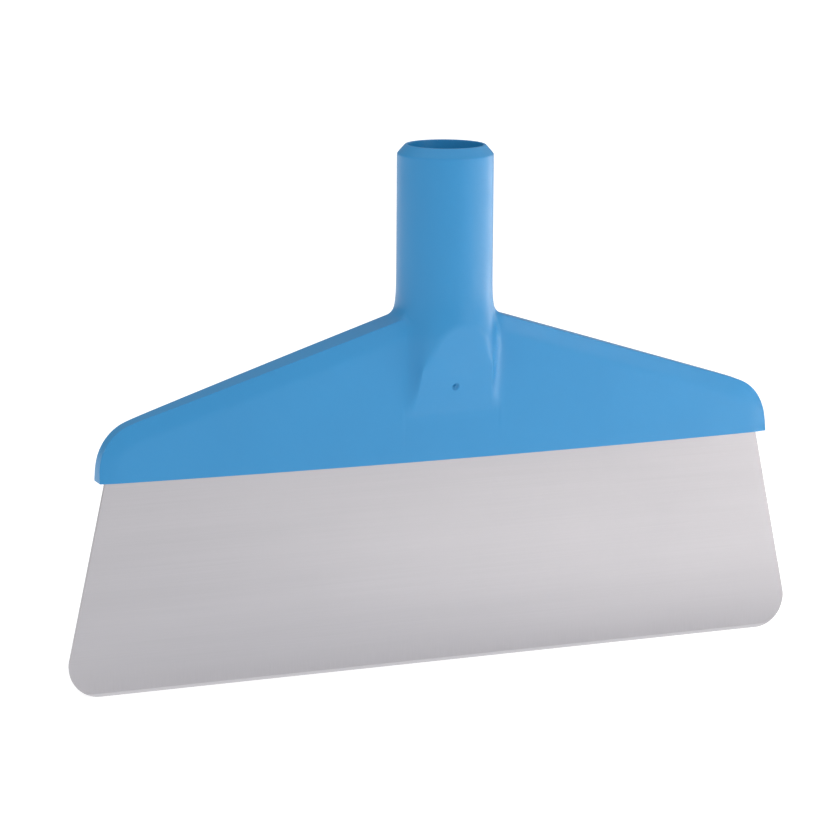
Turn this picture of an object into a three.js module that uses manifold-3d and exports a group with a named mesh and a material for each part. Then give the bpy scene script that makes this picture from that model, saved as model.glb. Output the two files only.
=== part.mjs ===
// Algae scraper head for a long handle: a flaring stainless blade moulded into a plastic holder,
// whose wings rise to a round socket with an internal thread.
// Millimetres. X runs along the blade, +Y to the back and +Z up the socket.
// The origin is the middle of the blade's working edge.

import * as THREE from "three";
import { mergeVertices } from "three/addons/utils/BufferGeometryUtils.js";
import Module from "manifold-3d";

// Driving dimensions

const GAP = 0.3; // between the blade and the plastic round it

const BLADE_WIDTH = 260; // over the rounded lower corners
const BLADE_THICKNESS = 1.2;
const BLADE_HEIGHT = 71; // the part that shows below the holder
const BLADE_FLARE = THREE.MathUtils.degToRad(12.2); // of each side from upright
const BLADE_CORNER = 10.5;
const GROUND_HEIGHT = 1.1; // the bevel ground on both sides of the working edge
const EDGE_LAND = 0.5; // the flat left between the two bevels

const TANG_SHOULDER = 6.6; // height over which the hidden tang keeps the blade's flare
const TANG_HEIGHT = 21;
const TANG_TOP_WIDTH = 176;
const TANG_CORNER = 2;
const KEY_RADIUS = 3.7; // plastic keys that run through the tang's holes
const KEY_HEIGHT = 11.5; // of their axes above the holder's lower edge
const KEY_PITCH = 38;
const KEY_COUNT = 5;

const WING_WIDTH = 239.6; // at the lower edge
const WING_FLARE = THREE.MathUtils.degToRad(1.5); // of each end from upright
const WING_PEAK = 124.1; // where the two sloping top edges would meet
const WING_SLOPE = 0.3143; // fall of a top edge for each mm outwards
const WING_CORNER = 16;
const WING_FOOT_RADIUS = 1.2;
const WING_HALF_MIDDLE = 7.8; // half thickness at the middle
const WING_HALF_END = 3.8; // half thickness at the ends: both faces are bowed
const BEVEL_HEIGHT = 5.2; // of the band along the top edges
const BEVEL_DEPTH = 1.5;

const SOCKET_RADIUS = 15.9;
const SOCKET_TOP = 174.9; // overall height
const SOCKET_FOOT_RADIUS = 17.5; // where the socket runs down between the wings
const FLARE_TOP = 127; // the height from which it widens to that
const FLARE_FOOT = 112;
const RIM_CHAMFER_HEIGHT = 3;
const RIM_CHAMFER_DEPTH = 2.7;
const SOCKET_FILLET = 3.8; // between the socket and the wings' top edges
const FACET_FOOT = 87; // where the facet on the socket's foot meets the wing's face
const FACET_LEAN = 0.3; // its way outwards for each mm of height

const BORE_RADIUS = 12.4;
const BORE_DEPTH = 48;
const THREAD_RADIUS = 1.7; // of its round ridge
const THREAD_CENTRE = 12.3; // radius of the ridge's helix
const THREAD_PITCH = 5;
const THREAD_TURNS = 7;
const THREAD_START = 6.5; // below the rim

const GATE_HEIGHT = 96; // of the injection point on the front facet
const GATE_DISH_RADIUS = 1.7;
const GATE_NUB_RADIUS = 0.7;
const GATE_NUB_HEIGHT = 0.4;

const OVERRUN = 4; // a cutting or bounding solid reaches this far past what it shapes

// Resolution

const ARC_STEPS = 5; // for each half arc of an outline
const TURN_STEPS = 60; // round the socket
const BOW_STEPS = 24;
const OUTLINE_STEPS = 110;
const THREAD_STEPS_PER_TURN = 20;
const THREAD_SIDES = 4; // for each half of the ridge's section
const GATE_STEPS = 12;

// Materials

const plastic = new THREE.MeshStandardMaterial({ color: "#3f8fcd", roughness: 0.42, metalness: 0 });
const steel = new THREE.MeshStandardMaterial({ color: "#c9c8cb", roughness: 0.34, metalness: 1 });

// Solids

const wasm = await Module();
wasm.setup();

// A closed geometry as a solid that can be joined and cut.
function solid(geometry) {
  const bare = geometry.clone();
  bare.deleteAttribute("normal");
  bare.deleteAttribute("uv");
  const merged = mergeVertices(bare, 1e-4);
  return new wasm.Manifold(
    new wasm.Mesh({
      numProp: 3,
      vertProperties: merged.attributes.position.array,
      triVerts: new Uint32Array(merged.index.array),
    }),
  );
}

// A finished solid as a named mesh.
function piece(name, body, material) {
  const { vertProperties, triVerts } = body.getMesh();
  const geometry = new THREE.BufferGeometry();
  geometry.setAttribute("position", new THREE.BufferAttribute(vertProperties, 3));
  geometry.setIndex(new THREE.BufferAttribute(triVerts, 1));
  geometry.computeVertexNormals();
  const mesh = new THREE.Mesh(geometry, material);
  mesh.name = name;
  return mesh;
}

// A closed outline through corners [x, y, radius], where an arc rounds each corner that has a radius.
function outline(corners) {
  const shape = new THREE.Shape();
  const points = corners.map(([x, y]) => new THREE.Vector2(x, y));
  corners.forEach(([x, y, radius], i) => {
    const corner = points[i];
    if (!radius) {
      if (i === 0) shape.moveTo(x, y);
      else shape.lineTo(x, y);
      return;
    }
    const back = points.at(i - 1).clone().sub(corner).normalize();
    const on = points[(i + 1) % points.length].clone().sub(corner).normalize();
    const halfAngle = Math.acos(back.dot(on)) / 2;
    const centre = back.clone().add(on).setLength(radius / Math.sin(halfAngle)).add(corner);
    const reach = radius / Math.tan(halfAngle);
    const start = back.multiplyScalar(reach).add(corner).sub(centre).angle();
    const turn = Math.PI - 2 * halfAngle;
    const clockwise = corner.clone().sub(centre).cross(on) < 0;
    shape.absarc(centre.x, centre.y, radius, start, start + (clockwise ? -turn : turn), clockwise);
  });
  shape.closePath();
  return shape;
}

// The right half's corners from the bottom up, any corners in the middle, and the left half's.
function mirrored(half, middle = []) {
  return [...half, ...middle, ...half.map(([x, y, radius]) => [-x, y, radius]).reverse()];
}

// An upright plate: an outline in X and Z, given its thickness in Y.
function plate(shape, thickness) {
  const geometry = new THREE.ExtrudeGeometry(shape, {
    depth: thickness,
    bevelEnabled: false,
    curveSegments: ARC_STEPS,
  });
  geometry.translate(0, 0, -thickness / 2).rotateX(Math.PI / 2);
  return solid(geometry);
}

// A bar along X with a section drawn in Y and Z.
function bar(section, length) {
  const geometry = new THREE.ExtrudeGeometry(section, { depth: length, bevelEnabled: false });
  const along = new THREE.Vector3(1, 0, 0);
  const across = new THREE.Vector3(0, 1, 0);
  const up = new THREE.Vector3(0, 0, 1);
  geometry.translate(0, 0, -length / 2);
  geometry.applyMatrix4(new THREE.Matrix4().makeBasis(across, up, along));
  return solid(geometry);
}

// A solid turned about the socket's axis from a profile of radius and height.
function turned(profile) {
  const geometry = new THREE.LatheGeometry(profile, TURN_STEPS);
  return solid(geometry.rotateX(Math.PI / 2));
}

function point(x, y) {
  return new THREE.Vector2(x, y);
}

// Blade

// Half of the width where the flaring sides would meet the working edge without rounded corners.
const BLADE_HALF_FOOT =
  BLADE_WIDTH / 2 -
  BLADE_CORNER +
  (BLADE_CORNER * (1 + Math.sin(BLADE_FLARE))) / Math.cos(BLADE_FLARE);

function bladeHalfWidth(z) {
  return BLADE_HALF_FOOT - z * Math.tan(BLADE_FLARE);
}

// The hidden tang's right half above the holder's lower edge, grown all round for its slot.
function tangCorners(growth) {
  const shoulder = BLADE_HEIGHT + TANG_SHOULDER;
  return [
    [bladeHalfWidth(shoulder) + growth, shoulder, 0],
    [TANG_TOP_WIDTH / 2 + growth, BLADE_HEIGHT + TANG_HEIGHT + growth, TANG_CORNER],
  ];
}

function withKeyHoles(shape, radius) {
  for (let i = 0; i < KEY_COUNT; i++) {
    const x = (i - (KEY_COUNT - 1) / 2) * KEY_PITCH;
    const hole = new THREE.Path().absarc(x, BLADE_HEIGHT + KEY_HEIGHT, radius, 0, 2 * Math.PI);
    shape.holes.push(hole);
  }
  return shape;
}

function makeBlade() {
  const corners = [[BLADE_HALF_FOOT, 0, BLADE_CORNER], ...tangCorners(0)];
  const shape = withKeyHoles(outline(mirrored(corners)), KEY_RADIUS + GAP);
  const sheet = plate(shape, BLADE_THICKNESS);

  // The ground section: a narrow land at the edge, widening past the sheet's thickness above it.
  const grow = (BLADE_THICKNESS - EDGE_LAND) / 2 / GROUND_HEIGHT;
  const top = BLADE_HEIGHT + 2 * TANG_HEIGHT;
  const section = outline(
    mirrored([
      [EDGE_LAND / 2, 0, 0],
      [EDGE_LAND / 2 + grow * top, top, 0],
    ]),
  );
  return sheet.intersect(bar(section, 2 * BLADE_WIDTH));
}

// Holder

function wingHalfThickness(x) {
  const bow = (WING_HALF_MIDDLE - WING_HALF_END) / (WING_WIDTH / 2) ** 2;
  return WING_HALF_MIDDLE - bow * x * x;
}

function wingOutline() {
  const foot = WING_WIDTH / 2;
  const flare = Math.tan(WING_FLARE);
  // The end line falls inwards by flare for each mm of height, and meets the sloping top edge.
  const rise = (WING_PEAK - WING_SLOPE * foot - BLADE_HEIGHT) / (1 - WING_SLOPE * flare);
  const end = [
    [foot, BLADE_HEIGHT, WING_FOOT_RADIUS],
    [foot - flare * rise, BLADE_HEIGHT + rise, WING_CORNER],
  ];
  return outline(mirrored(end, [[0, WING_PEAK, 0]]));
}

// A prism standing on a plan outline whose front is the wing's bowed face.
function bowedPrism() {
  const bottom = BLADE_HEIGHT - OVERRUN;
  const height = WING_PEAK + OVERRUN - bottom;
  const front = [];
  for (let i = 0; i <= BOW_STEPS; i++) {
    const x = (i / BOW_STEPS - 0.5) * (WING_WIDTH + OVERRUN);
    front.push(point(x, -wingHalfThickness(x)));
  }
  const back = front.map(({ x, y }) => point(-x, -y));
  const shape = new THREE.Shape([...front, ...back]);
  const geometry = new THREE.ExtrudeGeometry(shape, { depth: height, bevelEnabled: false });
  return solid(geometry.translate(0, 0, bottom));
}

// A leaning prism whose front is the bevel along the top edges: at each X it lies BEVEL_DEPTH behind
// the bowed face at the top edge, and comes out to it BEVEL_HEIGHT lower.
function bevelPrism(shape) {
  const lean = BEVEL_DEPTH / BEVEL_HEIGHT;
  const reach = WING_PEAK; // further back than the wing goes, wherever the prism is cut
  const front = shape
    .getSpacedPoints(OUTLINE_STEPS)
    .filter(({ y: z }) => z > BLADE_HEIGHT + WING_FOOT_RADIUS)
    .map(({ x, y: z }) => point(x, BEVEL_DEPTH - wingHalfThickness(x) - lean * z))
    .sort((a, b) => a.x - b.x);
  const ends = [front.at(-1).clone(), front[0].clone()];
  ends[0].x += WING_FOOT_RADIUS;
  ends[1].x -= WING_FOOT_RADIUS;
  const corners = ends.map(({ x }) => point(x, reach));
  const plan = new THREE.Shape([ends[1], ...front, ends[0], ...corners]);
  const bottom = BLADE_HEIGHT - OVERRUN;
  const depth = WING_PEAK + OVERRUN - bottom;
  const geometry = new THREE.ExtrudeGeometry(plan, { depth, bevelEnabled: false });
  geometry.translate(0, 0, bottom);
  geometry.applyMatrix4(new THREE.Matrix4().makeShear(0, 0, 0, 0, 0, lean));
  return geometry;
}

// The concave sweep from the socket to the sloping top edges, turned about the socket's axis.
function filletFlare() {
  const slope = Math.atan(WING_SLOPE);
  const centreRadius = SOCKET_RADIUS + SOCKET_FILLET;
  const centreHeight =
    WING_PEAK + (SOCKET_FILLET - centreRadius * Math.sin(slope)) / Math.cos(slope);
  const arc = new THREE.EllipseCurve(
    centreRadius,
    centreHeight,
    SOCKET_FILLET,
    SOCKET_FILLET,
    1.5 * Math.PI - slope,
    Math.PI,
    true,
  ).getPoints(ARC_STEPS);
  const lowest = point(arc[0].x, FACET_FOOT);
  return turned([point(0, FACET_FOOT), lowest, ...arc, point(0, centreHeight)]);
}

function makeWings() {
  const shape = wingOutline();
  const bevel = bevelPrism(shape);
  return plate(shape, 2 * SOCKET_RADIUS)
    .add(filletFlare())
    .intersect(bowedPrism())
    .intersect(solid(bevel))
    .intersect(solid(bevel.clone().rotateZ(Math.PI)));
}

// The blade's slot, open at the lower edge, with the keys left standing across it.
function bladeSlot() {
  const below = BLADE_HEIGHT - OVERRUN;
  const corners = [[bladeHalfWidth(below) + GAP, below, 0], ...tangCorners(GAP)];
  const shape = withKeyHoles(outline(mirrored(corners)), KEY_RADIUS);
  return plate(shape, BLADE_THICKNESS + 2 * GAP);
}

// Half of the thickness between the facets on the socket's front and back.
function facetDepth(z) {
  return WING_HALF_MIDDLE + FACET_LEAN * (z - FACET_FOOT);
}

function makeSocketTube() {
  const tube = turned([
    point(0, FACET_FOOT),
    point(SOCKET_FOOT_RADIUS, FACET_FOOT),
    point(SOCKET_FOOT_RADIUS, FLARE_FOOT),
    point(SOCKET_RADIUS, FLARE_TOP),
    point(SOCKET_RADIUS, SOCKET_TOP - RIM_CHAMFER_HEIGHT),
    point(SOCKET_RADIUS - RIM_CHAMFER_DEPTH, SOCKET_TOP),
    point(0, SOCKET_TOP),
  ]);
  // The facets taper the tube's foot down to the wings' faces.
  const low = FACET_FOOT - OVERRUN;
  const high = SOCKET_TOP + OVERRUN;
  const taper = outline(
    mirrored([
      [facetDepth(low), low, 0],
      [facetDepth(high), high, 0],
    ]),
  );
  return tube.intersect(bar(taper, 4 * SOCKET_FOOT_RADIUS));
}

function socketBore() {
  const floor = SOCKET_TOP - BORE_DEPTH;
  return turned([
    point(0, floor),
    point(BORE_RADIUS, floor),
    point(BORE_RADIUS, SOCKET_TOP + OVERRUN),
    point(0, SOCKET_TOP + OVERRUN),
  ]);
}

class Helix extends THREE.Curve {
  getPoint(t, target = new THREE.Vector3()) {
    const angle = 2 * Math.PI * THREAD_TURNS * t;
    const z = SOCKET_TOP - THREAD_START - THREAD_PITCH * THREAD_TURNS * t;
    return target.set(THREAD_CENTRE * Math.cos(angle), -THREAD_CENTRE * Math.sin(angle), z);
  }
}

// The round ridge that the handle's thread runs on, half sunk in the bore's wall.
function handleThread() {
  const section = new THREE.Shape().absarc(0, 0, THREAD_RADIUS, 0, 2 * Math.PI);
  const geometry = new THREE.ExtrudeGeometry(section, {
    steps: THREAD_TURNS * THREAD_STEPS_PER_TURN,
    curveSegments: THREAD_SIDES,
    extrudePath: new Helix(),
  });
  return solid(geometry);
}

// The injection point: a shallow dish on the front facet with a cut-off nub in it.
function gateMark() {
  const place = new THREE.Matrix4()
    .makeRotationX(Math.atan(FACET_LEAN))
    .setPosition(0, -facetDepth(GATE_HEIGHT), GATE_HEIGHT);
  // A ball of twice the dish's radius cuts it where its centre is this far off the facet.
  const ballRadius = 2 * GATE_DISH_RADIUS;
  const ball = new THREE.SphereGeometry(ballRadius, 2 * GATE_STEPS, GATE_STEPS);
  ball.translate(0, -ballRadius * Math.cos(Math.PI / 6), 0);
  const nubDepth = 4 * GATE_NUB_HEIGHT;
  const nub = new THREE.CylinderGeometry(GATE_NUB_RADIUS, GATE_NUB_RADIUS, nubDepth, GATE_STEPS);
  nub.translate(0, GATE_NUB_HEIGHT, 0);
  return [ball, nub].map((geometry) => solid(geometry.applyMatrix4(place)));
}

function makeHolder() {
  const [dish, nub] = gateMark();
  return makeWings()
    .add(makeSocketTube())
    .subtract(bladeSlot())
    .subtract(socketBore())
    .add(handleThread())
    .subtract(dish)
    .add(nub);
}

const scraper = new THREE.Group();
scraper.add(piece("holder", makeHolder(), plastic));
scraper.add(piece("blade", makeBlade(), steel));

export default scraper;
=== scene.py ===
"""Algae scraper head: a sheet steel blade moulded into a polypropylene holder with a threaded socket.

Sizes are in millimetres while a piece is made, and its finished mesh is scaled to metres. As in the
CAD frame, X runs along the blade, +Y to the back and +Z up the socket.
"""

import math

import bmesh
import bpy
from mathutils import Matrix, Vector


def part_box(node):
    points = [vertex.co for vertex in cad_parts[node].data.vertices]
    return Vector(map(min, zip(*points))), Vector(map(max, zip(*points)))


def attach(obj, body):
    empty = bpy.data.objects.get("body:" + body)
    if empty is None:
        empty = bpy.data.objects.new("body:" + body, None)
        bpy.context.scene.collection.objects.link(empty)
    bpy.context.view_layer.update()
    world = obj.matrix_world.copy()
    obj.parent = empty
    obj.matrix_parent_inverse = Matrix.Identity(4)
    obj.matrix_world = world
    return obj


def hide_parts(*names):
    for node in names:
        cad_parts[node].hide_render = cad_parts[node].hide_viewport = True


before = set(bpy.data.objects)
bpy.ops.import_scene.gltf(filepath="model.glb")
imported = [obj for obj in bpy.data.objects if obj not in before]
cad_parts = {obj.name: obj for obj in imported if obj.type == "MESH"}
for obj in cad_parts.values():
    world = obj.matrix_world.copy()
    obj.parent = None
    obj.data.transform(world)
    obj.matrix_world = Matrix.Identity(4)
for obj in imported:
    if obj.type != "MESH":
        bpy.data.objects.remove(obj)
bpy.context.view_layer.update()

MM = 0.001

# What the CAD frame gives
holder_low, holder_high = (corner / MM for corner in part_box("holder"))
blade_low, blade_high = (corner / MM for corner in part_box("blade"))
HOLDER_FOOT = holder_low.z
SOCKET_TOP = holder_high.z
WING_HALF_WIDTH = holder_high.x
BLADE_HALF_WIDTH = blade_high.x
BLADE_THICKNESS = 2 * blade_high.y
TANG_TOP = blade_high.z

# Blade
BLADE_FLARE = math.radians(12.2)
BLADE_CORNER = 10.5
GROUND_HEIGHT = 1.1
EDGE_LAND = 0.5
EDGE_BREAK = 0.12
TANG_SHOULDER = HOLDER_FOOT + 6.6
TANG_TOP_HALF = 88
TANG_CORNER = 2
SHOULDER_CORNER = 0.6
KEY_RADIUS = 4
KEY_HEIGHT = HOLDER_FOOT + 11.5
KEY_PITCH = 38
KEY_COUNT = 5
SLOT_CLEARANCE = 0.03

# Wings
WING_PEAK = 124.1
WING_SLOPE = math.atan(0.3143)
END_FLARE = math.radians(1.5)
WING_CORNER = 16
WING_HALF_MIDDLE = 7.8
WING_HALF_END = 3.8
WING_BOW = (WING_HALF_MIDDLE - WING_HALF_END) / WING_HALF_WIDTH**2
BAND_WIDTH = 5
BAND_DEPTH = 1.5
BAND_SUPPORT = 7.6
END_BAND = 0.4  # share of the band's depth that is left at the foot of an end
TOP_EDGE_RADIUS = 0.9
SHARP_ANGLE = math.radians(40)
FOOT_EDGE_RADIUS = 0.2

# Socket
SOCKET_RADIUS = 15.9
SOCKET_FOOT_RADIUS = 17.5
FLARE_TOP = 127
FLARE_FOOT = 112
FILLET_HEIGHT = 4.7
FILLET_REACH = 2.5
FACET_FOOT = 87
FACET_LEAN = 0.3
FACET_SOFTNESS = 0.7
FACET_SLACK = 1.2  # the net stands this far off the facets until they are cut
RIM_HEIGHT = 3
RIM_DEPTH = 2.7
RIM_SOFTNESS = 0.15
BORE_RADIUS = 12.4
BORE_FLOOR = SOCKET_TOP - 48
THREAD_PITCH = 5
THREAD_DEPTH = 1.8
THREAD_TOP = SOCKET_TOP - 6.5
THREAD_LENGTH = 35
THREAD_RUN_OUT = 0.15  # of a turn, over which each end rises
GATE_HEIGHT = 96
GATE_REACH = 3  # the facet's mesh is finer this far round the injection point
GATE_DISH_RADIUS = 1.5
GATE_DISH_DEPTH = 0.6
GATE_NUB_RADIUS = 0.6
GATE_NUB_HEIGHT = 0.5

# The holder's control net, whose columns are counted round the socket from the front
COLUMNS = 24
FIRST_SIDE = 4
LAST_SIDE = 8
SUBDIVISIONS = 3


def polar(radius, angle):
    return Vector((radius * math.cos(angle), radius * math.sin(angle)))


def smooth_least(a, b, softness):
    """The lesser of two numbers, rounded where they are within the softness of each other."""
    overlap = max(softness - abs(a - b), 0) / softness
    return min(a, b) - overlap * overlap * softness / 4


def mix(a, b, share):
    return a + (b - a) * share


def smooth_step(start, end, value):
    """Rises from 0 to 1 as a value goes from the start to the end, which may be the lower one."""
    t = min(max((value - start) / (end - start), 0), 1)
    return t * t * (3 - 2 * t)


# Finished pieces


def new_mesh(name, bm):
    """A mesh that takes over what a bmesh holds."""
    mesh = bpy.data.meshes.new(name)
    bm.to_mesh(mesh)
    bm.free()
    return mesh


def add_object(name, data):
    """An object in the scene that shows a mesh, a camera or a light."""
    made = bpy.data.objects.new(name, data)
    bpy.context.scene.collection.objects.link(made)
    return made


def add_piece(name, bm, material, smooth_angle):
    """A finished piece, scaled from millimetres to metres and shaded smooth below an angle."""
    mesh = new_mesh(name, bm)
    mesh.transform(Matrix.Scale(MM, 4))
    mesh.materials.append(material)
    mesh.shade_smooth()
    mesh.set_sharp_from_angle(angle=math.radians(smooth_angle))
    return add_object(name, mesh)


def baked(bm, kind, **settings):
    """A bmesh with one modifier applied. A bmesh given as the setting object is the cutter."""
    subject = add_object("draft", new_mesh("draft", bm))
    modifier = subject.modifiers.new(kind, kind)
    cutter = settings.get("object")
    if cutter:
        settings["object"] = add_object("cutter", new_mesh("cutter", cutter))
    for setting, value in settings.items():
        setattr(modifier, setting, value)
    graph = bpy.context.evaluated_depsgraph_get()
    made = bpy.data.meshes.new_from_object(subject.evaluated_get(graph))
    bpy.data.objects.remove(subject)
    if cutter:
        bpy.data.objects.remove(settings["object"])
    result = bmesh.new()
    result.from_mesh(made)
    bpy.data.meshes.remove(made)
    return result


def difference(bm, cutter):
    return baked(bm, "BOOLEAN", operation="DIFFERENCE", solver="MANIFOLD", object=cutter)


def next_ring(bm, ring):
    """Extrudes a ring of edges in place and returns the new ring's edges and vertices."""
    made = bmesh.ops.extrude_edge_only(bm, edges=ring)["geom"]
    verts = [item for item in made if isinstance(item, bmesh.types.BMVert)]
    fresh = set(verts)
    edges = [item for item in made if isinstance(item, bmesh.types.BMEdge)]
    return [edge for edge in edges if fresh.issuperset(edge.verts)], verts


# Blade


def rounded(corners):
    """Points of a closed outline whose corners (point, radius, steps) are rounded by arcs."""
    points = []
    for i, (corner, radius, steps) in enumerate(corners):
        back = (corners[i - 1][0] - corner).normalized()
        on = (corners[(i + 1) % len(corners)][0] - corner).normalized()
        half = back.angle(on) / 2
        centre = corner + (back + on).normalized() * radius / math.sin(half)
        start = corner + back * radius / math.tan(half) - centre
        turn = math.copysign(math.pi - 2 * half, on.cross(back))
        for step in range(steps + 1):
            points.append(centre + Matrix.Rotation(turn * step / steps, 2) @ start)
    return points


def blade_outline(growth):
    """The blade's outline in X and Z with its hidden tang, which may be grown for the slot."""
    sine, cosine = math.sin(BLADE_FLARE), math.cos(BLADE_FLARE)
    # The corner's arc is the widest place, so without it the side and the edge meet further out
    foot = BLADE_HALF_WIDTH - BLADE_CORNER + BLADE_CORNER * (1 + sine) / cosine
    shoulder = foot - TANG_SHOULDER * math.tan(BLADE_FLARE)
    right = [
        (Vector((foot + growth, 0)), BLADE_CORNER, 20),
        (Vector((shoulder + growth, TANG_SHOULDER)), SHOULDER_CORNER, 3),
        (Vector((TANG_TOP_HALF + growth, TANG_TOP + growth)), TANG_CORNER, 6),
    ]
    left = [(Vector((-spot.x, spot.y)), radius, steps) for spot, radius, steps in reversed(right)]
    return rounded(right + left)


def half_sheet(growth, layers):
    """The front half of a sheet: its outline at each layer's Y, drawn in by a break all round and
    by more where the outline faces down. Layers are (y, break, ground)."""
    points = blade_outline(growth)
    bm = bmesh.new()
    order = bm.verts.layers.int.new("order")
    outward = []
    for i, point in enumerate(points):
        vert = bm.verts.new((point.x, 0, point.y))
        vert[order] = i
        along = (points[(i + 1) % len(points)] - points[i - 1]).normalized()
        outward.append(Vector((along.y, -along.x)))
    bm.verts.ensure_lookup_table()
    ring = [bm.edges.new((bm.verts[i - 1], bm.verts[i])) for i in range(len(points))]
    for y, edge_break, ground in layers:
        ring, verts = next_ring(bm, ring)
        for vert in verts:
            normal = outward[vert[order]]
            inset = edge_break + ground * max(-normal.y, 0)
            spot = points[vert[order]] - normal * inset
            vert.co = (spot.x, y, spot.y)
    bmesh.ops.contextual_create(bm, geom=ring)
    return bm


def whole_sheet(growth, layers):
    bm = half_sheet(growth, layers)
    bmesh.ops.mirror(bm, geom=bm.verts[:] + bm.edges[:] + bm.faces[:], axis="Y", merge_dist=1e-4)
    bmesh.ops.recalc_face_normals(bm, faces=bm.faces)
    return bm


def key_posts(radius):
    """Posts across the sheet where the plastic runs through the tang."""
    bm = bmesh.new()
    for i in range(KEY_COUNT):
        x = (i - (KEY_COUNT - 1) / 2) * KEY_PITCH
        place = Matrix.Translation((x, 0, KEY_HEIGHT)) @ Matrix.Rotation(math.pi / 2, 4, "X")
        bmesh.ops.create_cone(
            bm,
            cap_ends=True,
            segments=48,
            radius1=radius,
            radius2=radius,
            depth=4 * BLADE_THICKNESS,
            matrix=place,
        )
    return bm


def make_blade(material):
    half = BLADE_THICKNESS / 2
    layers = [
        (-EDGE_LAND / 2, 0, 0),
        (-half + EDGE_BREAK, 0, GROUND_HEIGHT - EDGE_BREAK),
        (-half, EDGE_BREAK, GROUND_HEIGHT - EDGE_BREAK),
    ]
    sheet = difference(whole_sheet(0, layers), key_posts(KEY_RADIUS))
    return add_piece("blade_sheet", sheet, material, smooth_angle=25)


# Holder


def blade_slot():
    """The space that the sheet takes in the moulding, less the keys that run through its holes."""
    half = BLADE_THICKNESS / 2 + SLOT_CLEARANCE
    slot = whole_sheet(SLOT_CLEARANCE, [(-half, 0, 0)])
    return difference(slot, key_posts(KEY_RADIUS - SLOT_CLEARANCE))


# A cubic spline with a regular polygon's corners as its control points lies inside them by this
# factor.
NET_SHRINK = (2 + math.cos(2 * math.pi / COLUMNS)) / 3


def socket_radius(z):
    """The outside of the socket, which widens softly towards the wings."""
    return mix(SOCKET_FOOT_RADIUS, SOCKET_RADIUS, smooth_step(FLARE_FOOT, FLARE_TOP, z))


def wing_half(x):
    """Half of the wing's bowed thickness."""
    return WING_HALF_MIDDLE - WING_BOW * x * x


def facet_half(z):
    """The facets' distance from the middle plane."""
    return WING_HALF_MIDDLE + FACET_LEAN * (z - FACET_FOOT)


INSETS = [0, BAND_WIDTH, BAND_SUPPORT]
LAST_ROW = 6
STRAIGHT_X = [14, 20, 32, 50, 68, 86, 97]
LAST_STATION = len(STRAIGHT_X) - 1 + len(INSETS) + 1
CORNER_START = LAST_STATION - len(INSETS)

TOP_ANGLE = math.pi / 2 - WING_SLOPE
MITRE_ANGLE = (TOP_ANGLE + END_FLARE) / 2


def corner_centre():
    """The centre of the arc that joins the sloping top edge to the end."""
    foot = WING_HALF_WIDTH
    slope, flare = math.tan(WING_SLOPE), math.tan(END_FLARE)
    rise = (WING_PEAK - slope * foot - HOLDER_FOOT) / (1 - slope * flare)
    corner = Vector((foot - flare * rise, HOLDER_FOOT + rise))
    half = (math.pi - TOP_ANGLE + END_FLARE) / 2
    return corner - polar(WING_CORNER / math.sin(half), MITRE_ANGLE)


CORNER_CENTRE = corner_centre()


def net_point(station, row):
    """The front view's X and Z of a net point, counted outwards from the socket and downwards."""
    ring = LAST_STATION - station
    if row < len(INSETS) and station < CORNER_START:
        x = STRAIGHT_X[station] + (FILLET_REACH if station == 1 and row == 0 else 0)
        inset = INSETS[row] / math.cos(WING_SLOPE)
        return Vector((x, WING_PEAK - x * math.tan(WING_SLOPE) - inset))
    if row < len(INSETS) and ring >= row:
        share = (station - CORNER_START) / (len(INSETS) - row)
        radius = WING_CORNER - INSETS[row]
        return CORNER_CENTRE + polar(radius, mix(TOP_ANGLE, MITRE_ANGLE, share))
    if station <= CORNER_START:
        top = net_point(station, len(INSETS) - 1)
        share = (row - len(INSETS) + 1) / (LAST_ROW - len(INSETS) + 1)
        return Vector((top.x, mix(top.y, HOLDER_FOOT, share)))
    radius = WING_CORNER - INSETS[ring]
    arc_end = len(INSETS)
    if row <= arc_end:
        share = (row - ring) / (arc_end - ring)
        return CORNER_CENTRE + polar(radius, mix(MITRE_ANGLE, END_FLARE, share))
    top = net_point(station, arc_end)
    share = (row - arc_end) / (LAST_ROW - arc_end)
    z = mix(top.y, HOLDER_FOOT, share)
    return Vector((top.x + (top.y - z) * math.tan(END_FLARE), z))


def socket_profile():
    """Radius and height from the bore's floor over the rim and down the outside to the foot."""
    inner, outer = BORE_RADIUS, SOCKET_RADIUS
    land = outer - RIM_DEPTH
    chamfer = SOCKET_TOP - RIM_HEIGHT
    soft = RIM_SOFTNESS
    points = [(0, BORE_FLOOR), (0.6 * inner, BORE_FLOOR), (inner - soft, BORE_FLOOR)]
    bore_rows = 13
    lip = 1.2
    low, high = BORE_FLOOR + soft, SOCKET_TOP - lip
    points += [(inner, mix(low, high, i / bore_rows)) for i in range(bore_rows + 1)]
    points += [(inner, SOCKET_TOP - soft), (inner + soft / 2, SOCKET_TOP), (land - soft / 2, SOCKET_TOP)]
    points += [(land + soft, SOCKET_TOP - soft), (outer - soft, chamfer + soft), (outer, chamfer - soft)]
    fillet = net_point(0, 0).y + FILLET_HEIGHT
    # The outside's rows hold the chamfer and the fillet, and the foot's follow the wing
    heights = [chamfer - 2.5, mix(chamfer, fillet, 0.5), fillet + 5, fillet]
    heights += [net_point(0, row).y for row in range(LAST_ROW + 1)]
    return points + [(socket_radius(z), z) for z in heights]


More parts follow.
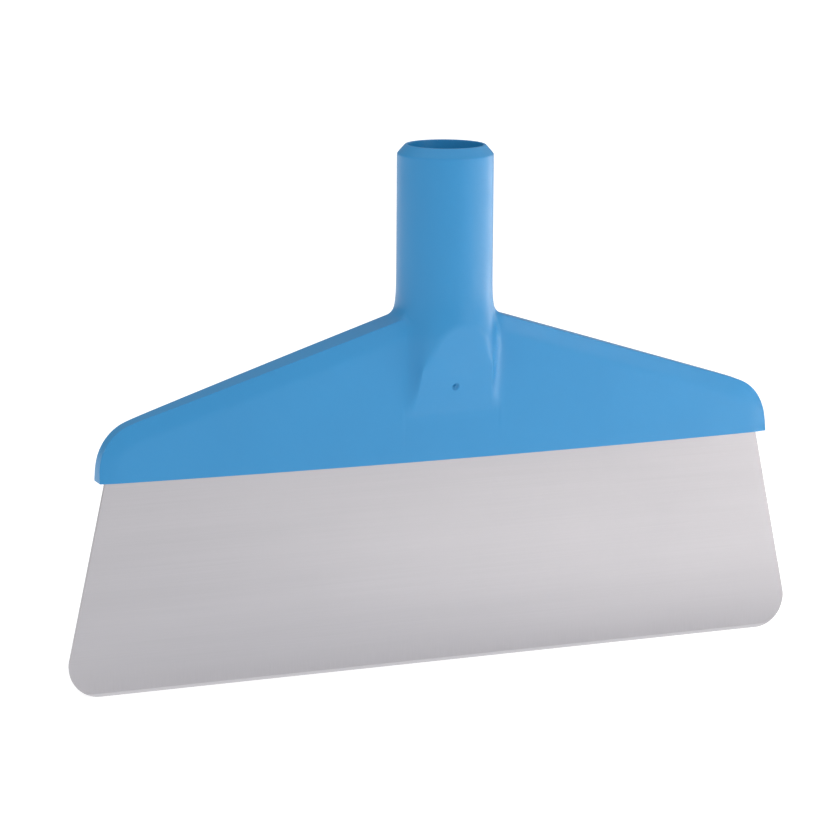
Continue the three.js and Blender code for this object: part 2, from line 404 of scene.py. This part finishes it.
def spun_socket():
    """The socket's net, a column of faces for each step of the spin, closed by a face at its foot."""
    bm = bmesh.new()
    verts = [bm.verts.new((0, -radius / NET_SHRINK, z)) for radius, z in socket_profile()]
    edges = [bm.edges.new(pair) for pair in zip(verts, verts[1:])]
    bmesh.ops.spin(
        bm,
        geom=verts + edges,
        cent=(0, 0, 0),
        axis=(0, 0, 1),
        angle=2 * math.pi,
        steps=COLUMNS,
        use_merge=True,
    )
    bmesh.ops.remove_doubles(bm, verts=bm.verts, dist=1e-3)
    foot = [edge for edge in bm.edges if edge.is_boundary]
    bmesh.ops.contextual_create(bm, geom=foot)
    bmesh.ops.recalc_face_normals(bm, faces=bm.faces)
    return bm


def shape_foot(bm, row_layer, column_layer):
    """Numbers the foot's net by row and column, and brings it in to the wings and facets."""
    levels = [net_point(0, row).y for row in range(LAST_ROW + 1)]
    for vert in bm.verts:
        vert[row_layer] = -1
        if vert.co.z > levels[0] + 0.5:
            continue
        row = min(range(LAST_ROW + 1), key=lambda i: abs(vert.co.z - levels[i]))
        from_front = math.degrees(math.atan2(abs(vert.co.x), -vert.co.y))
        column = round(from_front / 360 * COLUMNS)
        vert[row_layer] = row
        vert[column_layer] = column
        side = math.copysign(1, vert.co.x)
        depth = abs(vert.co.y)
        if FIRST_SIDE <= column <= LAST_SIDE:
            if column in (FIRST_SIDE, LAST_SIDE):
                depth = WING_HALF_MIDDLE - (BAND_DEPTH if row == 0 else 0)
                radius = socket_radius(vert.co.z) / NET_SHRINK
                vert.co.x = side * math.sqrt(radius**2 - depth**2)
            if row == 0:
                vert.co.z = WING_PEAK - abs(vert.co.x) * math.tan(WING_SLOPE)
        elif row >= len(INSETS):
            slack = FACET_SLACK if row < LAST_ROW - 1 else 0
            depth = min(depth, max(facet_half(vert.co.z), WING_HALF_MIDDLE) + slack)
        vert.co.y = math.copysign(depth, vert.co.y)


def pull_wing(bm, side, row_layer, column_layer):
    """Extrudes the faces on one side of the socket's foot outwards, station by station."""
    def beside(vert):
        at_side = FIRST_SIDE <= vert[column_layer] <= LAST_SIDE and side * vert.co.x > 0
        return vert[row_layer] >= 0 and at_side

    region = [face for face in bm.faces if all(beside(vert) for vert in face.verts)]
    for station in range(1, LAST_STATION + 1):
        made = bmesh.ops.extrude_face_region(bm, geom=region)["geom"]
        bmesh.ops.delete(bm, geom=[face for face in region if face.is_valid], context="FACES")
        region = [item for item in made if isinstance(item, bmesh.types.BMFace)]
        for vert in {vert for face in region for vert in face.verts}:
            row, column = vert[row_layer], vert[column_layer]
            spot = net_point(station, row)
            half = wing_half(spot.x)
            if row == 0:
                half -= BAND_DEPTH
            elif station == LAST_STATION:
                half -= BAND_DEPTH * mix(1, END_BAND, (row - 1) / (LAST_ROW - 1))
            across = 2 * (column - FIRST_SIDE) / (LAST_SIDE - FIRST_SIDE) - 1
            vert.co = (side * spot.x, across * half, spot.y)


def bevel_sharp(bm, low, high, offset):
    """Rounds the convex edges of the foot and wings between two heights."""
    def sharp(edge):
        middle = (edge.verts[0].co.z + edge.verts[1].co.z) / 2
        return low < middle < high and edge.calc_face_angle_signed(0) > SHARP_ANGLE

    bm.normal_update()
    bmesh.ops.bevel(
        bm,
        geom=[edge for edge in bm.edges if sharp(edge)],
        affect="EDGES",
        offset=offset,
        offset_type="OFFSET",
        segments=2,
        profile=0.5,
        material=-1,
        clamp_overlap=True,
    )


def cut_facets(bm):
    """Brings the tube's foot back to its sloping facets, front and back."""
    for vert in bm.verts:
        x, y, z = vert.co
        wing = wing_half(x)
        if abs(x) > SOCKET_FOOT_RADIUS or abs(y) < wing + 0.01 or z > FLARE_TOP:
            continue
        depth = smooth_least(abs(y), facet_half(z), FACET_SOFTNESS)
        vert.co.y = math.copysign(max(depth, wing), y)


def raise_thread(bm):
    """Draws a round helical ridge out of the bore's wall."""
    turns = THREAD_LENGTH / THREAD_PITCH
    for vert in bm.verts:
        radius = math.hypot(vert.co.x, vert.co.y)
        on_wall = abs(radius - BORE_RADIUS) <= 0.2
        if not on_wall or not BORE_FLOOR + 1 < vert.co.z < SOCKET_TOP - 1:
            continue
        angle = math.atan2(vert.co.y, vert.co.x) / (2 * math.pi)
        down = (THREAD_TOP - vert.co.z) / THREAD_PITCH
        turn = round(down + angle) - angle
        offset = (turn - down) * THREAD_PITCH / THREAD_DEPTH
        if abs(offset) >= 1:
            continue
        run = smooth_step(0, THREAD_RUN_OUT, turn) * smooth_step(0, THREAD_RUN_OUT, turns - turn)
        height = THREAD_DEPTH * run * math.cos(offset * math.pi / 2) ** 1.5
        vert.co.xy *= (radius - height) / radius


def on_gate(vert):
    """How far a point on the front facet is from the injection point, measured along the facet."""
    return math.hypot(vert.co.x, (vert.co.z - GATE_HEIGHT) / math.cos(math.atan(FACET_LEAN)))


def press_gate(bm):
    """The injection point: a shallow dish in the front facet with the stub of the runner in it."""
    def near(face):
        return all(vert.co.y < -WING_HALF_MIDDLE and on_gate(vert) < GATE_REACH for vert in face.verts)

    edges = {edge for face in bm.faces if near(face) for edge in face.edges}
    bmesh.ops.subdivide_edges(bm, edges=list(edges), cuts=5, use_grid_fill=True)
    for vert in bm.verts:
        if vert.co.y > -WING_HALF_MIDDLE or on_gate(vert) > GATE_DISH_RADIUS:
            continue
        reach = on_gate(vert)
        sunk = GATE_DISH_DEPTH * smooth_step(GATE_DISH_RADIUS, GATE_NUB_RADIUS, reach)
        raised = GATE_NUB_HEIGHT * smooth_step(GATE_NUB_RADIUS, 0.6 * GATE_NUB_RADIUS, reach)
        vert.co.y += sunk - raised


def make_holder(material):
    bm = spun_socket()
    row_layer = bm.verts.layers.int.new("row")
    column_layer = bm.verts.layers.int.new("column")
    shape_foot(bm, row_layer, column_layer)
    for side in (1, -1):
        pull_wing(bm, side, row_layer, column_layer)
    bevel_sharp(bm, HOLDER_FOOT - 1, HOLDER_FOOT + 1, FOOT_EDGE_RADIUS)
    bevel_sharp(bm, HOLDER_FOOT + 1, WING_PEAK - 2, TOP_EDGE_RADIUS)
    bm = baked(bm, "SUBSURF", levels=SUBDIVISIONS)
    cut_facets(bm)
    press_gate(bm)
    raise_thread(bm)
    bm = difference(bm, blade_slot())
    return add_piece("holder_moulding", bm, material, smooth_angle=40)


# Materials


def linear(colour):
    """An sRGB hex colour as linear RGBA."""
    def channel(i):
        value = int(colour[i : i + 2], 16) / 255
        return value / 12.92 if value <= 0.04045 else ((value + 0.055) / 1.055) ** 2.4

    return (channel(1), channel(3), channel(5), 1)


def new_material(name):
    """A material with its node tree and its shader."""
    material = bpy.data.materials.new(name)
    material.use_nodes = True
    tree = material.node_tree
    return material, tree, tree.nodes["Principled BSDF"]


def add_node(tree, kind, links=None, inputs=None, **settings):
    """A node with its settings, its inputs' values, and links to inputs from other nodes' sockets."""
    node = tree.nodes.new("ShaderNode" + kind)
    for setting, value in settings.items():
        setattr(node, setting, value)
    for name, value in (inputs or {}).items():
        node.inputs[name].default_value = value
    for name, socket in (links or {}).items():
        tree.links.new(socket, node.inputs[name])
    return node


def moulded_polypropylene():
    """Pigmented PP from a finely spark-eroded mould: a satin blue that is slightly cloudy where the melt
    flowed, with painted shade over the cut stub of the runner and a painted highlight along its convex
    edges."""
    material, tree, shader = new_material("moulded_polypropylene")
    shader.inputs["IOR"].default_value = 1.49
    shader.inputs["Specular IOR Level"].default_value = 0.6
    place = add_node(tree, "TexCoord").outputs["Object"]

    # Flow clouds about 30 mm across
    cloud = add_node(tree, "TexNoise", {"Vector": place}, {"Scale": 1 / 0.03, "Detail": 3})
    blue = add_node(
        tree,
        "Mix",
        {"Factor": cloud.outputs["Fac"]},
        {"A": linear("#187eb6"), "B": linear("#1c84bd")},
        data_type="RGBA",
    )

    # Painted shade over the cut stub of the runner and the dish round it, 3 mm across
    gate = (0, -facet_half(GATE_HEIGHT) * MM, GATE_HEIGHT * MM)
    stub, dish = GATE_NUB_RADIUS * MM, (GATE_DISH_RADIUS + 0.1) * MM
    apart = add_node(tree, "VectorMath", {0: place}, {1: gate}, operation="DISTANCE")
    dish_shade = add_node(
        tree,
        "MapRange",
        {"Value": apart.outputs["Value"]},
        {"From Min": stub, "From Max": dish, "To Min": 0.4, "To Max": 0},
        interpolation_type="SMOOTHSTEP",
    )
    with_dish_shade = add_node(
        tree,
        "Mix",
        {"Factor": dish_shade.outputs["Result"], "A": blue.outputs["Result"]},
        {"B": linear("#135f91")},
        data_type="RGBA",
    )

    # A painted highlight: convex edges painted paler, in patches about 8 mm long
    bend = add_node(tree, "NewGeometry").outputs["Pointiness"]
    edge = add_node(tree, "MapRange", {"Value": bend}, {"From Min": 0.52, "From Max": 0.6, "To Max": 0.5})
    patch = add_node(tree, "TexNoise", {"Vector": place}, {"Scale": 1 / 0.008, "Detail": 2})
    edge_highlight = add_node(
        tree,
        "Math",
        {0: edge.outputs["Result"], 1: patch.outputs["Fac"]},
        operation="MULTIPLY",
    )
    with_edge_highlight = add_node(
        tree,
        "Mix",
        {"Factor": edge_highlight.outputs["Value"], "A": with_dish_shade.outputs["Result"]},
        {"B": linear("#83b7dc")},
        data_type="RGBA",
    )
    tree.links.new(with_edge_highlight.outputs["Result"], shader.inputs["Base Color"])

    # Handled places are a little glossier, in patches about 8 mm long
    gloss = add_node(
        tree,
        "MapRange",
        {"Value": patch.outputs["Fac"]},
        {"From Min": 0.3, "From Max": 0.7, "To Min": 0.43, "To Max": 0.37},
    )
    tree.links.new(gloss.outputs["Result"], shader.inputs["Roughness"])

    # The mould's grain is about 0.2 mm, and is drawn at 0.5 mm so that it shows
    grain = add_node(tree, "TexNoise", {"Vector": place}, {"Scale": 1 / 0.0005, "Detail": 2})
    relief = add_node(
        tree,
        "Bump",
        {"Height": grain.outputs["Fac"]},
        {"Strength": 0.12, "Distance": 0.0001},
    )
    tree.links.new(relief.outputs["Normal"], shader.inputs["Normal"])
    return material


def cold_rolled_stainless():
    """Cold-rolled stainless strip: a soft grey sheen drawn out along the rolling lines, with a working
    edge that was ground across and is scuffed by use."""
    material, tree, shader = new_material("cold_rolled_stainless")
    shader.inputs["Metallic"].default_value = 1
    place = add_node(tree, "TexCoord").outputs["Object"]

    # Rolling lines are about 0.1 mm apart and 60 mm long, and are drawn 0.4 mm apart so that they show
    rolled = add_node(tree, "Mapping", {"Vector": place}, {"Scale": (1 / 0.06, 1, 1 / 0.0004)})
    lines = add_node(tree, "TexNoise", {"Vector": rolled.outputs["Vector"]}, {"Scale": 1, "Detail": 3})
    # Bands of slightly uneven sheen, about 12 mm high
    banded = add_node(tree, "Mapping", {"Vector": place}, {"Scale": (1 / 0.15, 1, 1 / 0.012)})
    sheen = add_node(tree, "TexNoise", {"Vector": banded.outputs["Vector"]}, {"Scale": 1, "Detail": 2})
    # Scuffs from scraping, upright, about 0.5 mm apart and 6 mm long, gone 14 mm above the edge
    scraped = add_node(tree, "Mapping", {"Vector": place}, {"Scale": (1 / 0.0005, 1, 1 / 0.006)})
    scuffs = add_node(tree, "TexNoise", {"Vector": scraped.outputs["Vector"]}, {"Scale": 1, "Detail": 2})
    height = add_node(tree, "SeparateXYZ", {"Vector": place}).outputs["Z"]
    low = add_node(
        tree,
        "MapRange",
        {"Value": height},
        {"From Min": 0.001, "From Max": 0.014, "To Min": 1, "To Max": 0},
        interpolation_type="SMOOTHSTEP",
    )
    scuffed = add_node(
        tree,
        "Mix",
        {"Factor": low.outputs["Result"], "A": lines.outputs["Fac"], "B": scuffs.outputs["Fac"]},
    )

    shade = add_node(
        tree,
        "Math",
        {0: sheen.outputs["Fac"], 1: scuffed.outputs["Result"]},
        operation="ADD",
    )
    steel = add_node(
        tree,
        "MapRange",
        {"Value": shade.outputs["Value"]},
        {"From Min": 0.7, "From Max": 1.3},
    )
    colour = add_node(
        tree,
        "Mix",
        {"Factor": steel.outputs["Result"]},
        {"A": linear("#adabaf"), "B": linear("#b2b0b4")},
        data_type="RGBA",
    )
    # The ground strip along the working edge is painted brighter, as a painted reflection of the lit
    # floor
    ground_top = GROUND_HEIGHT * MM
    ground = add_node(
        tree,
        "MapRange",
        {"Value": height},
        {"From Min": ground_top, "From Max": ground_top + 0.1 * MM, "To Min": 0.6, "To Max": 0},
    )
    with_ground_highlight = add_node(
        tree,
        "Mix",
        {"Factor": ground.outputs["Result"], "A": colour.outputs["Result"]},
        {"B": linear("#cfced1")},
        data_type="RGBA",
    )
    tree.links.new(with_ground_highlight.outputs["Result"], shader.inputs["Base Color"])

    rough = add_node(
        tree,
        "MapRange",
        {"Value": scuffed.outputs["Result"]},
        {"From Min": 0.3, "From Max": 0.7, "To Min": 0.32, "To Max": 0.35},
    )
    tree.links.new(rough.outputs["Result"], shader.inputs["Roughness"])
    relief = add_node(
        tree,
        "Bump",
        {"Height": scuffed.outputs["Result"]},
        {"Strength": 0.05, "Distance": 0.00005},
    )
    tree.links.new(relief.outputs["Normal"], shader.inputs["Normal"])
    return material


# Camera, floor and light, in metres

WARM_WHITE = (1, 0.95, 0.9)
FLOOR_HALF_WIDTH = 6


def add_camera():
    azimuth, elevation, roll = (math.radians(value) for value in (-22.42, 11.73, 0.414))
    distance = 1.077
    target = Vector((-0.0083, 0, 0.0834))
    back = Vector((
        math.sin(azimuth) * math.cos(elevation),
        -math.cos(azimuth) * math.cos(elevation),
        math.sin(elevation),
    ))
    level = Vector((math.cos(azimuth), math.sin(azimuth), 0))
    raised = back.cross(level)
    right = level * math.cos(roll) + raised * math.sin(roll)
    up = raised * math.cos(roll) - level * math.sin(roll)
    data = bpy.data.cameras.new("camera")
    data.lens = 139.3
    data.sensor_width = 36
    data.clip_start = 0.05
    data.clip_end = 50
    camera = add_object("camera", data)
    turn = Matrix((right, up, back)).transposed().to_4x4()
    camera.matrix_world = Matrix.Translation(target + back * distance) @ turn
    bpy.context.scene.camera = camera


def add_floor():
    bm = bmesh.new()
    bmesh.ops.create_grid(bm, x_segments=1, y_segments=1, size=FLOOR_HALF_WIDTH)
    mesh = new_mesh("floor", bm)
    # Frosted white acrylic lit from below, which hides all but the softest shadow
    material, _, shader = new_material("lit_white_acrylic")
    shader.inputs["Base Color"].default_value = linear("#cbcbcb")
    shader.inputs["Roughness"].default_value = 1
    shader.inputs["Specular IOR Level"].default_value = 0
    shader.inputs["Emission Color"].default_value = linear("#ffffff")
    shader.inputs["Emission Strength"].default_value = 0.62
    mesh.materials.append(material)
    floor = add_object("floor", mesh)


def add_light(name, spot, aim, size, power, spread=180):
    data = bpy.data.lights.new(name, "AREA")
    data.shape = "RECTANGLE"
    data.size, data.size_y = size
    data.energy = power
    data.color = WARM_WHITE
    data.spread = math.radians(spread)
    light = add_object(name, data)
    light.location = spot
    light.rotation_euler = (Vector(aim) - Vector(spot)).to_track_quat("-Z", "Y").to_euler()
    light.visible_camera = False


def add_surroundings():
    """A pale studio with a darker back wall and a brighter ceiling."""
    world = bpy.data.worlds.new("studio")
    world.use_nodes = True
    tree = world.node_tree
    towards = add_node(tree, "TexCoord").outputs["Generated"]
    axes = add_node(tree, "SeparateXYZ", {"Vector": towards}).outputs
    wall = add_node(
        tree,
        "MapRange",
        {"Value": axes["Y"]},
        {"From Min": 0.2, "From Max": 0.8, "To Min": 0.74, "To Max": 0.3},
        interpolation_type="SMOOTHSTEP",
    )
    ceiling = add_node(
        tree,
        "MapRange",
        {"Value": axes["Z"]},
        {"From Min": 0, "From Max": 0.9, "To Min": 1, "To Max": 1.5},
        interpolation_type="SMOOTHSTEP",
    )
    strength = add_node(
        tree,
        "Math",
        {0: wall.outputs["Result"], 1: ceiling.outputs["Result"]},
        operation="MULTIPLY",
    )
    background = tree.nodes["Background"]
    background.inputs["Color"].default_value = (1, 1, 1, 1)
    tree.links.new(strength.outputs["Value"], background.inputs["Strength"])
    bpy.context.scene.world = world


def add_lighting():
    add_surroundings()
    add_light("right_softbox", (0.47, -0.66, 0.36), (0.1, 0, 0.1), (0.35, 0.25), 0.8)
    add_light("rim_strip", (0.6, 0.2, 0.1), (0, 0, 0.12), (0.1, 0.4), 0.55)
    # Two boxes over the floor light patches of it, which the blade and the plastic mirror
    add_light("right_floor_box", (0.54, -0.12, 0.5), (0.54, -0.12, 0), (0.3, 0.4), 4, spread=60)
    add_light("front_floor_box", (0.12, -0.14, 0.4), (0.12, -0.14, 0), (0.2, 0.08), 0.11, spread=40)
    bpy.context.scene.view_settings.view_transform = "Standard"


add_camera()
add_floor()
add_lighting()

holder = make_holder(moulded_polypropylene())
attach(holder, "root")
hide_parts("holder")

blade = make_blade(cold_rolled_stainless())
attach(blade, "root")
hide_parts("blade")
